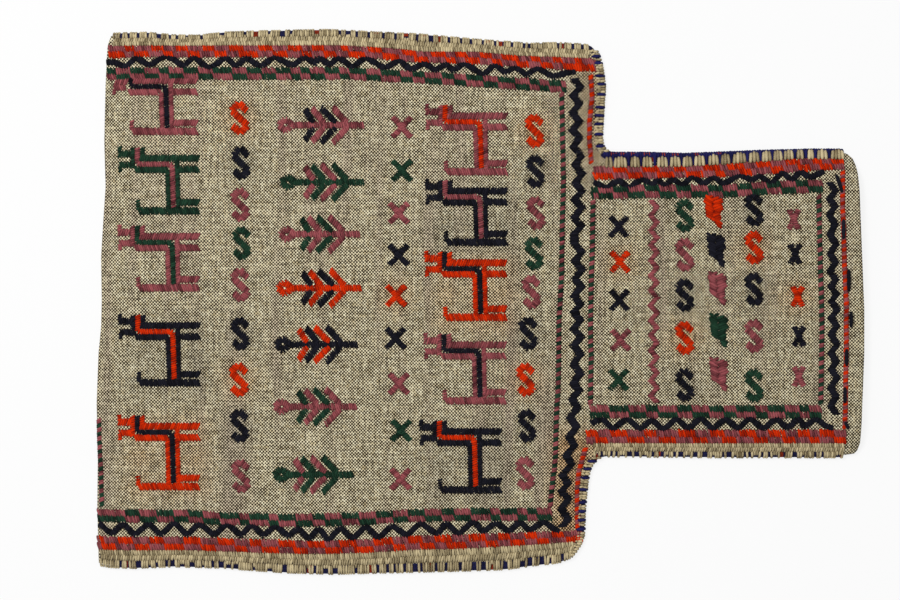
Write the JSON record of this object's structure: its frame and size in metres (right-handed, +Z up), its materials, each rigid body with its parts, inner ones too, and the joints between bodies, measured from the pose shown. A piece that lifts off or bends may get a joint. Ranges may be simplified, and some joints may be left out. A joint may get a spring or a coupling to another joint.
{
  "type": "woven salt bag",
  "caption": "Flat woven wool bag with a wide body, a narrower neck open at its end, brocaded animals, trees and hooks, bordered edges and overcast side seams.",
  "frame": {"origin": "middle of the bag's bounding box, at the ground it lies on", "axes": "+X from the base fold to the mouth, +Y across the bag, +Z up through the front cloth"},
  "size_m": [0.6, 0.4269, 0.0161],
  "materials": {
    "natural": "matte handspun wool",
    "navy": "matte handspun wool",
    "orange": "matte handspun wool",
    "maroon": "matte handspun wool",
    "green": "matte handspun wool"
  },
  "bodies": {
    "root": {"front_panel": "natural", "back_panel": "navy", "upper_body_seam": "natural", "lower_body_seam": "natural", "upper_shoulder_seam": "navy", "lower_shoulder_seam": "navy", "upper_neck_seam": "navy", "lower_neck_seam": "natural", "outer_border_ground": "maroon", "outer_border_blocks": "orange", "body_zigzag": "navy", "neck_zigzag": "navy", "body_inner_ground": "green", "body_inner_blocks": "maroon", "neck_inner_ground": "green", "neck_inner_blocks": "maroon", "neck_wave": "maroon", "left_goat_1": "maroon", "left_goat_1_line": "navy", "left_goat_2": "green", "left_goat_2_line": "maroon", "left_goat_3": "maroon", "left_goat_3_line": "green", "left_goat_4": "navy", "left_goat_4_line": "orange", "left_goat_5": "orange", "left_goat_5_line": "navy", "right_goat_1": "maroon", "right_goat_1_line": "orange", "right_goat_2": "navy", "right_goat_2_line": "maroon", "right_goat_3": "orange", "right_goat_3_line": "navy", "right_goat_4": "maroon", "right_goat_4_line": "navy", "right_goat_5": "navy", "right_goat_5_line": "orange", "tree_1": "maroon", "tree_2": "green", "tree_3": "maroon", "tree_4": "orange", "tree_5": "navy", "tree_6": "maroon", "tree_7": "green", "neck_leaf_1": "orange", "neck_leaf_2": "navy", "neck_leaf_3": "maroon", "neck_leaf_4": "green", "neck_leaf_5": "maroon"}
  },
  "joints": []
}
